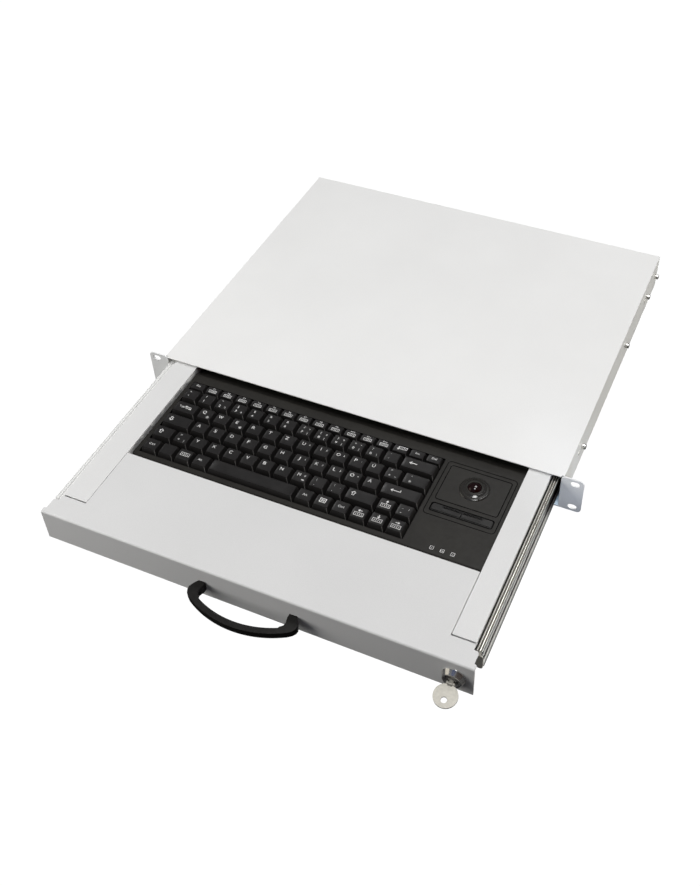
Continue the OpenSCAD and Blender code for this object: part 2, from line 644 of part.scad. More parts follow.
// ---------------------------------------------------------------- trackball
module trackball_insert() {
  color([0.17, 0.17, 0.16]) difference() {
    union() {
      rplate(ins, 3.9, kt - 2.2, kt - 0.05);
      // skirt under the edge
      difference() {
        rplate([ins[0] + 0.4, ins[1] + 0.4, ins[2] - 0.4, ins[3] - 0.4], 3.6, kt - 5, kt - 2.1);
        rplate([ins[0] + 2, ins[1] + 2, ins[2] - 2, ins[3] - 2], 2.4, kt - 6, kt - 2);
      }
    }
    rplate([cov[0] - 0.4, cov[1] - 0.4, cov[2] + 0.4, cov[3] + 0.4], 2.9, kt - 6, kt + 1);
    rplate([but[0], but[1], but[2], but[3]], 3, kt - 6, kt + 1);
  }
}
module trackball_cover() {
  color([0.17, 0.17, 0.16]) difference() {
    union() {
      rplate(cov, 2.5, kt - 2.2, kt - 0.05);
      // raised collar round the ball
      translate([tb_x, tb_y, kt - 0.1]) rotate_extrude($fn = 96)
        polygon([[0, 0], [14.8, 0], [14.4, 0.4], [14, 0.76], [13.5, 1.08], [13.05, 1.28], [12.5, 1.43], [11.8, 1.58],
          [11, 1.78], [10.2, 2.04], [9.4, 2.37], [8.6, 2.74], [8, 2.98], [7.5, 3.04], [7, 3], [6.7, 2.7], [6.7, 2.2], [0, 2.2]]);
    }
    translate([tb_x, tb_y, 0]) cylinder(h = 40, r = 6.7, $fn = 96);
    translate([tb_x, tb_y, ball_z]) sphere(d = track_d + 0.5, $fn = 64);
  }
}
module trackball_cup() {
  color([0.08, 0.08, 0.09]) difference() {
    union() {
      translate([tb_x, tb_y, 0]) cylinder(h = kt - 2.3, r = 11, $fn = 96);
      box(tb_x - 24, tb_y - 6, kt - 4.4, tb_x + 24, tb_y + 6, kt - 2.3);
    }
    translate([tb_x, tb_y, ball_z]) sphere(d = track_d + 0.16, $fn = 64);
    translate([tb_x, tb_y, ball_z]) cylinder(h = 20, r = track_d/2 + 0.2, $fn = 96);
    translate([tb_x, tb_y, -1]) cylinder(h = 9, r = 4, $fn = 48);
  }
}
module trackball() { color("darkred") translate([tb_x, tb_y, ball_z]) sphere(d = track_d, $fn = 64); }
module mouse_button(x0, x1) {
  union() {
    difference() {
      union() {
        rplate([but[0] + 0.8, but[1] + 0.8, but[2] - 0.8, but[3] - 0.8], 2.3, kt - 3.4, kt - 0.5);
        rplate([but[0] + 1.1, but[1] + 2.3, but[2] - 1.1, but[3] - 1.0], 1.9, kt - 0.6, kt + 0.1);
      }
      box(but[0] - 1, but[1] - 1, kt - 5, x0, but[3] + 1, kt + 2);
      box(x1, but[1] - 1, kt - 5, but[2] + 1, but[3] + 1, kt + 2);
    }
  }
}
mid_b = 146.1;
module mouse_button_left() { color([0.17, 0.17, 0.17]) mouse_button(but[0], mid_b - 0.3); }
module mouse_button_right() { color([0.17, 0.17, 0.17]) mouse_button(mid_b + 0.3, but[2]); }
module indicator_lenses() {
  color("dimgray") for (i = [0 : 2]) translate([135.2 + i*10.2, -122.9, kt - 3.4]) cylinder(h = 3.36, r = 1.22, $fn = 32);
}

chassis();
top_cover();
cable_grommet();
side_pan_screws();
side_flush_screws();
cabinet_slide_left();
cabinet_slide_right();
ball_cage_left();
ball_cage_right();
slide_balls_left();
slide_balls_right();
drawer_slide_left();
drawer_slide_right();
slide_end_stops();
drawer_tray();
front_panel();
left_side_cover();
right_side_cover();
slide_screws();
pull_handle();
handle_screws();
lock_body();
lock_nut();
lock_plug();
lock_cam();
cam_screw();
key_blade();
key_bow();
key_pivot_pin();
keyboard_base();
keyboard_feet();
keyboard_frame();
switch_plate();
trackball_insert();
trackball_cover();
trackball_cup();
trackball();
mouse_button_left();
mouse_button_right();
indicator_lenses();
escape_key();
function_keys();
number_keys();
backspace_key();
tab_key();
upper_letter_keys();
hash_key();
caps_lock_key();
home_row_keys();
enter_key();
left_shift_key();
lower_letter_keys();
right_shift_key();
modifier_keys();
space_bar();
arrow_keys();
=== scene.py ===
import bpy, bmesh, json, math
from mathutils import Matrix, Vector


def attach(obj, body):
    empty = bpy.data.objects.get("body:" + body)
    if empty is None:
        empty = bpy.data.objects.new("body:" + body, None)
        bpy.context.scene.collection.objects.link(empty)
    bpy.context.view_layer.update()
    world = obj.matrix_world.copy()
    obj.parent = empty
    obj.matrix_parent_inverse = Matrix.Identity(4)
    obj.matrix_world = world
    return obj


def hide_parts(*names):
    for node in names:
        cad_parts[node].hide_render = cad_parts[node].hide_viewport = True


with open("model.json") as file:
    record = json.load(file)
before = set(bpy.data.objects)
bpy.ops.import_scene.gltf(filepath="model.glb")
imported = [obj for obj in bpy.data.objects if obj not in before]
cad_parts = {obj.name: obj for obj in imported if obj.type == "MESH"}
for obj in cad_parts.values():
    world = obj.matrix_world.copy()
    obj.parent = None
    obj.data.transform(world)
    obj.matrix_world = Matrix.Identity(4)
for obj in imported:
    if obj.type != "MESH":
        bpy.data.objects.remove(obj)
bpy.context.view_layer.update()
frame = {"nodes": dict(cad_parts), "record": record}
NODE = frame["nodes"]
REC = frame["record"]
M = 0.001

# ------------------------------------------------------------------ sizes, in mm, as in the CAD model
FY = -230.0
KT = 14.2
DT = 18.7
UX, UY = 18.85, 19.05
KX0, KYC = -176.2, -114.7
FNY, FNU = -23.5, 15 * 18.85 / 16
CAPB = 10.8
TBX, TBY, BALLZ = 146.5, -42.6, 12.0
LX, LZ = 198.8, -0.6


# ------------------------------------------------------------------ materials
def new_mat(name):
    m = bpy.data.materials.new(name)
    m.use_nodes = True
    nt = m.node_tree
    nt.nodes.clear()
    out = nt.nodes.new("ShaderNodeOutputMaterial")
    bs = nt.nodes.new("ShaderNodeBsdfPrincipled")
    nt.links.new(bs.outputs[0], out.inputs[0])
    return m, nt, bs


def noise(nt, scale, detail=2.0, stretch=None, rough=0.5):
    tc = nt.nodes.new("ShaderNodeTexCoord")
    mp = nt.nodes.new("ShaderNodeMapping")
    if stretch:
        mp.inputs["Scale"].default_value = stretch
    nt.links.new(tc.outputs["Object"], mp.inputs["Vector"])
    n = nt.nodes.new("ShaderNodeTexNoise")
    n.inputs["Scale"].default_value = scale
    n.inputs["Detail"].default_value = detail
    n.inputs["Roughness"].default_value = rough
    nt.links.new(mp.outputs[0], n.inputs["Vector"])
    return n.outputs["Fac"]


def ramp(nt, fac, lo, hi, a=0.3, b=0.7):
    r = nt.nodes.new("ShaderNodeValToRGB")
    r.color_ramp.elements[0].position = a
    r.color_ramp.elements[1].position = b
    r.color_ramp.elements[0].color = (*lo, 1)
    r.color_ramp.elements[1].color = (*hi, 1)
    nt.links.new(fac, r.inputs[0])
    return r.outputs[0]


def span(nt, fac, lo, hi, a=0.3, b=0.7):
    r = nt.nodes.new("ShaderNodeMapRange")
    r.inputs["From Min"].default_value = a
    r.inputs["From Max"].default_value = b
    r.inputs["To Min"].default_value = lo
    r.inputs["To Max"].default_value = hi
    nt.links.new(fac, r.inputs["Value"])
    return r.outputs[0]


def bump(nt, height, dist, strength, normal=None):
    b = nt.nodes.new("ShaderNodeBump")
    b.inputs["Strength"].default_value = strength
    b.inputs["Distance"].default_value = dist
    nt.links.new(height, b.inputs["Height"])
    if normal is not None:
        nt.links.new(normal, b.inputs["Normal"])
    return b.outputs[0]


def mul(c, k):
    return tuple(min(1.0, v * k) for v in c)


def paint(name, col, rough=0.42, grain=0.12, spec=0.4):
    m, nt, bs = new_mat(name)
    tone = ramp(nt, noise(nt, 9, 4), mul(col, 0.975), mul(col, 1.012))
    speck = ramp(nt, noise(nt, 1400, 2), (0.96, 0.96, 0.96), (1.0, 1.0, 1.0), 0.35, 0.6)
    mx = nt.nodes.new("ShaderNodeMix")
    mx.data_type = "RGBA"
    mx.blend_type = "MULTIPLY"
    mx.inputs["Factor"].default_value = 1.0
    nt.links.new(tone, mx.inputs["A"])
    nt.links.new(speck, mx.inputs["B"])
    nt.links.new(mx.outputs["Result"], bs.inputs["Base Color"])
    nt.links.new(span(nt, noise(nt, 60, 3), rough - 0.05, rough + 0.06), bs.inputs["Roughness"])
    nt.links.new(bump(nt, noise(nt, 1100, 3), 0.00006, grain), bs.inputs["Normal"])
    bs.inputs["Specular IOR Level"].default_value = spec
    return m


def plastic(name, col, rough=0.45, grain=0.35, scale=2200, spec=0.5, dist=0.00006):
    m, nt, bs = new_mat(name)
    tone = ramp(nt, noise(nt, 35, 4), mul(col, 0.85), mul(col, 1.15))
    nt.links.new(tone, bs.inputs["Base Color"])
    nt.links.new(span(nt, noise(nt, 240, 3), rough - 0.06, rough + 0.07), bs.inputs["Roughness"])
    nt.links.new(bump(nt, noise(nt, scale, 2), dist, grain), bs.inputs["Normal"])
    bs.inputs["Specular IOR Level"].default_value = spec
    return m


def metal(name, col, rough=0.25, stretch=(1, 1, 1), scale=500, grain=0.08, vary=0.08, metallic=1.0):
    m, nt, bs = new_mat(name)
    tone = ramp(nt, noise(nt, scale, 3, stretch), mul(col, 1 - 2 * vary), mul(col, 1 + vary))
    nt.links.new(tone, bs.inputs["Base Color"])
    nt.links.new(span(nt, noise(nt, scale * 0.6, 3, stretch), rough * 0.75, rough * 1.3), bs.inputs["Roughness"])
    nt.links.new(bump(nt, noise(nt, scale * 1.6, 2, stretch), 0.00004, grain), bs.inputs["Normal"])
    bs.inputs["Metallic"].default_value = metallic
    return m


MAT = {
    "housing_paint": paint("paint_housing", (0.86, 0.868, 0.868), 0.42),
    "cover_paint": paint("paint_cover", (0.855, 0.855, 0.845), 0.45),
    "drawer_paint": paint("paint_drawer", (0.69, 0.69, 0.687), 0.42),
    "tray_paint": paint("paint_tray", (0.72, 0.72, 0.72), 0.45),
    "strip_paint": paint("paint_strip", (0.735, 0.735, 0.73), 0.42),
    "grommet_rubber": plastic("rubber_grommet", (0.015, 0.015, 0.015), 0.7, 0.3, 1500, 0.3),
    "foot_rubber": plastic("rubber_foot", (0.02, 0.02, 0.02), 0.75, 0.3, 1500, 0.3),
    "screw_steel": metal("steel_screw", (0.66, 0.65, 0.62), 0.28, (1, 1, 1), 900, 0.1),
    "slide_steel": metal("steel_slide", (0.44, 0.43, 0.40), 0.36, (300, 2, 300), 1.0, 0.0, 0.02),
    "cage_steel": metal("steel_cage", (0.22, 0.21, 0.20), 0.35, (1, 1, 1), 600, 0.1),
    "ball_steel": metal("steel_ball", (0.80, 0.80, 0.80), 0.08, (1, 1, 1), 600, 0.02, 0.03),
    "stop_steel": metal("steel_stop", (0.60, 0.585, 0.53), 0.5, (1, 1, 1), 500, 0.1, 0.08, 0.05),
    "handle_black": plastic("plastic_handle", (0.0085, 0.0078, 0.0070), 0.42, 0.25, 1800, 0.30),
    "lock_chrome": metal("chrome_lock", (0.78, 0.77, 0.75), 0.07, (1, 1, 1), 300, 0.02, 0.03, 0.86),
    "plug_metal": metal("nickel_plug", (0.34, 0.33, 0.31), 0.16, (1, 1, 1), 700, 0.08, 0.08, 0.6),
    "key_nickel": metal("nickel_key", (0.56, 0.54, 0.48), 0.40, (1, 1, 1), 450, 0.12, 0.05, 0.45),
    "keyboard_black": plastic("plastic_frame", (0.0190, 0.0177, 0.0152), 0.55, 0.45, 2400, 0.30),
    "switch_black": plastic("plastic_switch", (0.055, 0.040, 0.044), 0.6, 0.2, 1500, 0.25),
    "trackball_trim": plastic("plastic_trim", (0.0190, 0.0177, 0.0152), 0.52, 0.45, 2400, 0.31),
    "ball_red": plastic("gloss_ball", (0.0085, 0.0020, 0.0020), 0.05, 0.0, 200, 0.55),
    "button_black": plastic("plastic_button", (0.0150, 0.0145, 0.0135), 0.42, 0.3, 2400, 0.35),
    "lens_grey": plastic("lens", (0.020, 0.020, 0.019), 0.35, 0.1, 900, 0.4),
    "keycap_black": plastic("plastic_cap", (0.0150, 0.0140, 0.0135), 0.38, 0.35, 2600, 0.42),
}
M_COLLAR = plastic("gloss_collar", (0.0235, 0.0220, 0.0195), 0.13, 0.04, 900, 0.85)
M_INK = plastic("ink_legend", (0.78, 0.78, 0.77), 0.55, 0.05, 1500, 0.3)
# painted shade: near-black plastic laid where shade falls, on slot and groove walls, over gaps and on the buttons
M_PAINTED_SHADE = plastic("shadow_liner", (0.0035, 0.0035, 0.0035), 0.8, 0.1, 900, 0.05)
# painted highlight: lighter plastic for the strip down the front right corner of each cap
M_CAP_HIGHLIGHT = plastic("cap_edge_highlight", (0.15, 0.145, 0.14), 0.4, 0.1, 900, 0.4)
# painted shade: darker copy of the slide steel in the troughs of the right slide's upper flange
M_GROOVE_SHADE = metal("steel_groove_shade", (0.125, 0.112, 0.098), 0.42, (300, 2, 300), 1.0, 0.0, 0.03)
# painted shade: near-black copy of the slide steel, beside the strip edge on the upper flange and along the lower ball
# race
M_STEEL_SHADE = metal("steel_shaded", (0.042, 0.040, 0.038), 0.5, (300, 2, 300), 1.0, 0.0, 0.03)
# painted highlight: lighter copy of the slide steel on the outer lip of the upper flange and along the lower ball race
M_LIP_HIGHLIGHT = metal("steel_lip_highlight", (0.72, 0.71, 0.68), 0.36, (300, 2, 300), 1.0, 0.0, 0.02)
# painted shade: darker copy of the slide steel on the upward faces of the lower flange, under the upper flange
M_RACE_SHADE = metal("steel_race_shade", (0.36, 0.355, 0.34), 0.38, (300, 2, 300), 1.0, 0.0, 0.02)
# painted light: near-white copy of the slide zinc for the lit top flange of the left slide
M_LIT_ZINC = metal("zinc_painted_light", (0.80, 0.80, 0.785), 0.55, (1, 1, 1), 400, 0.03, 0.02, 0.0)
M_DULL = metal("zinc_dull", (0.52, 0.52, 0.50), 0.5, (1, 1, 1), 400, 0.03, 0.03, 0.2)
M_WEB = metal("steel_web", (0.46, 0.455, 0.44), 0.5, (300, 2, 300), 1.0, 0.0, 0.02, 0.2)
M_FLUSH = metal("steel_flush_screw", (0.80, 0.79, 0.75), 0.4, (1, 1, 1), 900, 0.05, 0.05, 0.2)

SLOT_OF = {s["node"]: s["material_slot"] for s in REC["subparts"]}
for name, o in NODE.items():
    o.data.materials.clear()
    o.data.materials.append(MAT[SLOT_OF[name]])


# ------------------------------------------------------------------ several materials on one part, chosen face by face: real finishes, and painted shade and painted highlights
def finishes_and_painted_light(name, mats, pick):
    """pick gets the middle of a face in mm and its normal, and returns an index into mats, or -1 for the base finish"""
    o = NODE[name]
    for m in mats:
        o.data.materials.append(m)
    w = o.matrix_world
    for p in o.data.polygons:
        c = w @ p.center
        n = w.to_3x3() @ p.normal
        p.material_index = pick(abs(c.x) * 1000, c.y * 1000, c.z * 1000, n) + 1


# painted light on the right slide: shade beside the strip edge (0), shade in the upper flange troughs (1), highlight on
# the outer lip (2), shade on the lower flange's upward faces (3); the web (4) gets a less metallic steel
def slide_light_bands(x, y, z, n):
    if z > 12:
        if x < 210.35:
            return 0
        if 211.62 < x < 212.45 or 213.95 < x < 214.9:
            return 1
        if x >= 214.9:
            return 2
        return -1
    if z < -12 and n.z > 0.2:
        return 3
    if abs(z) <= 12:
        return 4
    return -1


bpy.context.view_layer.update()
finishes_and_painted_light("drawer_slide_right", (M_STEEL_SHADE, M_GROOVE_SHADE, M_LIP_HIGHLIGHT, M_RACE_SHADE, M_WEB), slide_light_bands)
# painted light on the left slide's top flange; a line down its groove keeps the duller base as painted shade
finishes_and_painted_light("drawer_slide_left", (M_DULL, M_LIT_ZINC), lambda x, y, z, n: 1 if z > 12 and not 211.5 < x < 212.3 else 0)
finishes_and_painted_light("side_flush_screws", (M_FLUSH,), lambda x, y, z, n: 0)
# painted shade: steep side faces below the top surface of these parts, in slots and grooves, get the near-black shade
# plastic
for n_ in ("trackball_insert", "trackball_cover", "keyboard_frame", "mouse_button_left", "mouse_button_right"):
    finishes_and_painted_light(n_, (M_PAINTED_SHADE,), lambda x, y, z, n: 0 if abs(n.z) < 0.5 and z < KT - 0.04 else -1)


# ------------------------------------------------------------------ soft edges on the sheet metal and plastic parts
def soften(name, width, segs=2, angle=32):
    o = NODE[name]
    w = o.modifiers.new("merge", "WELD")
    w.merge_threshold = 0.000002
    if name in ("front_panel", "top_cover", "left_side_cover", "right_side_cover"):
        d = o.modifiers.new("flat_faces", "DECIMATE")
        d.decimate_type = "DISSOLVE"
        d.angle_limit = math.radians(0.4)
    b = o.modifiers.new("soft_edge", "BEVEL")
    b.width = width * M
    b.segments = segs
    b.limit_method = "ANGLE"
    b.angle_limit = math.radians(angle)
    b.use_clamp_overlap = True
    b.harden_normals = False
    b.miter_outer = "MITER_ARC"
    for p in o.data.polygons:
        p.use_smooth = True
    if "custom_normal" in o.data.attributes:
        o.data.attributes.remove(o.data.attributes["custom_normal"])
    wn_ = o.modifiers.new("normals", "WEIGHTED_NORMAL")
    wn_.mode = "FACE_AREA_WITH_ANGLE"
    wn_.weight = 90
    wn_.keep_sharp = False


for n_, w_ in (("chassis", 0.3), ("top_cover", 0.35), ("front_panel", 0.3), ("left_side_cover", 0.3),
               ("right_side_cover", 0.3), ("drawer_tray", 0.25), ("pull_handle", 0.35), ("keyboard_frame", 0.4),
               ("trackball_insert", 0.12), ("trackball_cover", 0.12), ("mouse_button_left", 0.2),
               ("mouse_button_right", 0.2), ("key_bow", 0.3), ("side_pan_screws", 0.25), ("slide_end_stops", 0.3),
               ("drawer_slide_left", 0.12), ("drawer_slide_right", 0.12), ("lock_cam", 0.2), ("lock_nut", 0.2),
               ("cable_grommet", 0.4), ("keyboard_base", 0.5)):
    soften(n_, w_, 2)


# ------------------------------------------------------------------ mesh helpers
def make(name, verts, faces, mat, body, smooth=True, sharp=30):
    me = bpy.data.meshes.new(name)
    me.from_pydata([tuple(c * M for c in v) for v in verts], [], faces)
    me.validate()
    me.update()
    me.materials.append(mat)
    o = bpy.data.objects.new(name, me)
    bpy.context.scene.collection.objects.link(o)
    if smooth:
        for p in me.polygons:
            p.use_smooth = True
        me.set_sharp_from_angle(angle=math.radians(sharp))
    if body:
        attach(o, body)
    return o


def ring_rect(hw, hd, r, z, cx, cy, nc=4, ne=4):
    """points of a rectangle with round corners, counter-clockwise, at height z"""
    r = min(r, hw * 0.95, hd * 0.95)
    pts = []
    cs = [(hw - r, hd - r, 0), (-hw + r, hd - r, 90), (-hw + r, -hd + r, 180), (hw - r, -hd + r, 270)]
    for k, (x, y, a0) in enumerate(cs):
        for i in range(nc + 1):
            a = math.radians(a0 + 90 * i / nc)
            pts.append((cx + x + r * math.cos(a), cy + y + r * math.sin(a), z))
        nx, ny, na = cs[(k + 1) % 4]
        a = math.radians(a0 + 90)
        p0 = (x + r * math.cos(a), y + r * math.sin(a))
        p1 = (nx + r * math.cos(a), ny + r * math.sin(a))
        for i in range(1, ne):
            t = i / ne
            pts.append((cx + p0[0] + (p1[0] - p0[0]) * t, cy + p0[1] + (p1[1] - p0[1]) * t, z))
    return pts


def loft(rings, verts, faces, close_top=True, close_bottom=False):
    base = len(verts)
    n = len(rings[0])
    for r in rings:
        verts.extend(r)
    for k in range(len(rings) - 1):
        a = base + k * n
        b = a + n
        for i in range(n):
            j = (i + 1) % n
            faces.append((a + i, a + j, b + j, b + i))
    if close_top:
        faces.append(tuple(base + (len(rings) - 1) * n + i for i in range(n)))
    if close_bottom:
        faces.append(tuple(base + i for i in reversed(range(n))))


def lathe(prof, steps=96, axis="Z", at=(0, 0, 0)):
    """(radius, height) pairs turned about an axis"""
    v, f = [], []
    for r, h in prof:
        for i in range(steps):
            a = 2 * math.pi * i / steps
            x, y = r * math.cos(a), r * math.sin(a)
            if axis == "Z":
                v.append((at[0] + x, at[1] + y, at[2] + h))
            else:
                v.append((at[0] + x, at[1] - h, at[2] + y))
    for k in range(len(prof) - 1):
        for i in range(steps):
            j = (i + 1) % steps
            a, b = k * steps, (k + 1) * steps
            f.append((a + i, a + j, b + j, b + i) if axis == "Z" else (a + j, a + i, b + i, b + j))
    return v, f


# ------------------------------------------------------------------ keycaps
DISH = 0.15


def cap_shape(x, y, w, d, zt, side, front, back):
    """middle, half width and half depth of the dished top of a cap"""
    cy = y + (front - back) / 2
    hw, hd = w / 2 - side, (d - front - back) / 2
    return x, cy, hw, hd


def top_z(px, py, shape, zt):
    x, cy, hw, hd = shape
    u = max(-1, min(1, (px - x) / hw)) if hw < 9 else max(-1, min(1, (abs(px - x) - hw + 8) / 8)) * (abs(px - x) > hw - 8)
    v = max(-1, min(1, (py - cy) / hd))
    return zt - DISH * (1 - u * u) * 0.7 - DISH * 0.3 * (1 - v * v)


def add_cap(verts, faces, x, y, w, d, zb, zt, side, front, back):
    h = zt - zb
    shape = cap_shape(x, y, w, d, zt, side, front, back)

    def level(z, grow=0.0, r=None):
        t = (z - zb) / h
        hw = w / 2 - side * t + grow
        f, b = front * t, back * t
        hd = (d - f - b) / 2 + grow
        return ring_rect(hw, hd, r if r else 0.35 + 0.3 * t, z, x, y + (f - b) / 2)

    rings = [level(zb + 0.0, -0.25), level(zb + 0.2), level(zb + h * 0.5), level(zt - 0.24)]
    for a in (20, 50, 80):
        s = math.radians(a)
        rings.append(level(zt - 0.22 + 0.22 * math.sin(s), -0.18 * (1 - math.cos(s)), 0.6))
    for k, sh in enumerate((1.0, 0.8, 0.55, 0.3, 0.08)):
        sx, cy, hw, hd = shape
        ring = ring_rect((hw - 0.25) * sh, (hd - 0.25) * sh, 0.6 * sh, 0, sx, cy)
        rings.append([(p[0], p[1], top_z(p[0], p[1], shape, zt)) for p in ring])
    loft(rings, verts, faces)
    return shape


def std_cap(col, width, row):
    return (KX0 + (col + width / 2) * UX, KYC + row * UY, width * UX - 1.1, UY - 1.3, CAPB, DT, 2.0, 2.1, 2.8)


def fn_cap(i):
    return (KX0 + (i + 0.5) * FNU, FNY, FNU - 1.2, 11.6, CAPB, DT - 1.5, 1.3, 0.7, 2.3)


# node -> list of (cap, legend). A legend is a list of (text or @mark, height, dx, dy) from the middle of the cell, in mm.
def one(ch, *more):
    return [(ch, 3.75, -2.35, 1.75)] + list(more)


def two(up, low, *more):
    return [(up, 2.7, -2.6, 2.9), (low, 2.9, -2.6, -3.3)] + list(more)


RT = lambda ch: (ch, 2.0, 3.8, 1.9)
RB = lambda ch: (ch, 2.2, 3.6, -3.6)
FNK = lambda i: [("F%d" % i, 1.9, 0.0, 2.0), ("@tag", 0, 0.0, -1.9)]
WORD = lambda t: [(t, 2.5, 0.0, 0.2)]
upper = [one("Q", RB("@")), one("W"), one("E", RB("@curl")), one("R"), one("T"), one("Z"), one("U", RT("4")), one("I", RT("5")),
         one("O", RT("6")), one("P", RT("-")), one("\u00dc"), two("*", "+", RB("~"))]
home = [one("A"), one("S"), one("D"), one("F"), one("G"), one("H"), one("J", RT("1")), one("K", RT("2")), one("L", RT("3")),
        one("\u00d6", RT("+")), one("\u00c4")]
lower = [two(">", "<", RB("|"))] + [one(c) for c in "YXCVBN"] + [one("M", RT("0"), RB("@dot")), two(";", ","), two(":", ".", RT("."))]
digits = [two("^", "\u00b0"), two("!", "1"), two('"', "2", RB("2")), two("\u00a7", "3", RB("3")), two("$", "4"), two("%", "5"), two("&", "6"),
          two("/", "7", RT("7"), RB("{")), two("(", "8", RT("8"), RB("[")), two(")", "9", RT("9"), RB("]")),
          two("=", "0", RT("*"), RB("}")), two("?", "\u00df", RB("\\")), two("`", "\u00b4")]
NAV = lambda g: [(g, 0, 0.0, 2.6), ("@frame", 0, 0.0, -1.9)]
KEYS = {
    "escape_key": [(fn_cap(0), WORD("Esc"))],
    "function_keys": [(fn_cap(i), FNK(i)) for i in range(1, 13)] + [(fn_cap(13), [("@down", 0, -2.6, 0.6), ("@tag", 0, 2.2, 0.9)]),
                                                                    (fn_cap(14), WORD("Ins")), (fn_cap(15), WORD("Del"))],
    "number_keys": [(std_cap(i, 1, 4), digits[i]) for i in range(13)],
    "backspace_key": [(std_cap(13, 2, 4), [("@left", 0, -6.0, 0.2)])],
    "tab_key": [(std_cap(0, 1.5, 3), [("Tab", 2.5, -4.8, 0.2), ("@tab", 0, 2.4, 0.2)])],
    "upper_letter_keys": [(std_cap(1.5 + i, 1, 3), upper[i]) for i in range(12)],
    "hash_key": [(std_cap(13.5, 1.5, 3), [("'", 2.5, -5.4, 2.6), ("#", 2.7, -5.0, -3.0)])],
    "caps_lock_key": [(std_cap(0, 1.75, 2), [("@capd", 0, -7.9, 0.0)])],
    "home_row_keys": [(std_cap(1.75 + i, 1, 2), home[i]) for i in range(11)],
    "enter_key": [(std_cap(12.75, 2.25, 2), [("@enter", 0, -5.6, 0.0)])],
    "left_shift_key": [(std_cap(0, 1.25, 1), [("@capu", 0, -3.4, 0.0)])],
    "lower_letter_keys": [(std_cap(1.25 + i, 1, 1), lower[i]) for i in range(10)],
    "right_shift_key": [(std_cap(11.25, 1.75, 1), [("@capu", 0, -8.0, 0.6)])],
    "modifier_keys": [(std_cap(c, 1, 0), g) for c, g in zip((0, 1, 2, 3, 9, 10, 11), (
        WORD("Ctrl"), [], [("@frame", 0, 0.2, 0.2)], [("Alt", 2.5, -1.6, 0.2)], WORD("Alt"), [("@menu", 0, 0.0, 0.2)], WORD("Ctrl")))],
    "space_bar": [(std_cap(4, 5, 0), [])],
    "arrow_keys": [(std_cap(12, 1, 0), NAV("@aleft")), (std_cap(13, 1, 0), NAV("@adown")), (std_cap(14, 1, 0), NAV("@aright")),
                   (std_cap(13, 1, 1), NAV("@aup")), (std_cap(14, 1, 1), two("_", "-", ("/", 2.2, 3.6, 1.6)))],
}


WIDE = {"W": 0.88, "M": 0.92, "Q": 1.0, "O": 1.02, "D": 1.02, "G": 1.05, "C": 1.05, "A": 1.02, "V": 1.02,
        "E": 1.28, "F": 1.28, "L": 1.2, "S": 1.35, "R": 1.2, "T": 1.1, "P": 1.2, "B": 1.2, "Z": 1.15, "X": 1.05, "J": 1.25,
        "I": 1.1, "1": 1.2, "2": 1.2, "3": 1.2, "4": 1.15, "5": 1.2, "6": 1.2, "7": 1.2, "8": 1.2, "9": 1.2, "0": 1.15}


def text_mesh(s, size, wide=1.0):
    """flat triangles of a short plain legend centred on 0, size is the height of a capital, in mm"""
    cu = bpy.data.curves.new("legend", "FONT")
    cu.body = s
    cu.size = size * 1.42
    cu.resolution_u = 3
    cu.offset = 0.0
    cu.space_character = 1.06
    ob = bpy.data.objects.new("legend_tmp", cu)
    bpy.context.scene.collection.objects.link(ob)
    dg = bpy.context.evaluated_depsgraph_get()
    me = bpy.data.meshes.new_from_object(ob.evaluated_get(dg))
    v = [tuple(c.co) for c in me.vertices]
    f = [tuple(p.vertices) for p in me.polygons]
    bpy.data.objects.remove(ob)
    bpy.data.curves.remove(cu)
    bpy.data.meshes.remove(me)
    if v:
        mx = (min(p[0] for p in v) + max(p[0] for p in v)) / 2
        v = [((p[0] - mx) * wide, p[1] - size / 2) for p in v]
    return v, f


def strip(pts, w):
    """a flat line of width w through points, as quads"""
    v, f = [], []
    for (x0, y0), (x1, y1) in zip(pts, pts[1:]):
        dx, dy = x1 - x0, y1 - y0
        l = math.hypot(dx, dy)
        dx, dy = dx / l * w / 2, dy / l * w / 2
        b = len(v)
        v += [(x0 - dx + dy, y0 - dy - dx), (x1 + dx + dy, y1 + dy - dx), (x1 + dx - dy, y1 + dy + dx), (x0 - dx - dy, y0 - dy + dx)]
        f.append((b, b + 1, b + 2, b + 3))
    return v, f


def outline(x0, y0, x1, y1, w):
    return strip([(x0, y0), (x1, y0), (x1, y1), (x0, y1), (x0, y0)], w)


def bars(x0, x1, y, h, n, w):
    """short upright bars in a row, standing in for small print"""
    out = []
    for i in range(n):
        x = x0 + (x1 - x0) * (i + 0.5) / n
        hh = h if i % 3 else h * 0.7
        out.append(strip([(x, y - hh / 2), (x, y + hh / 2)], w))
    return out


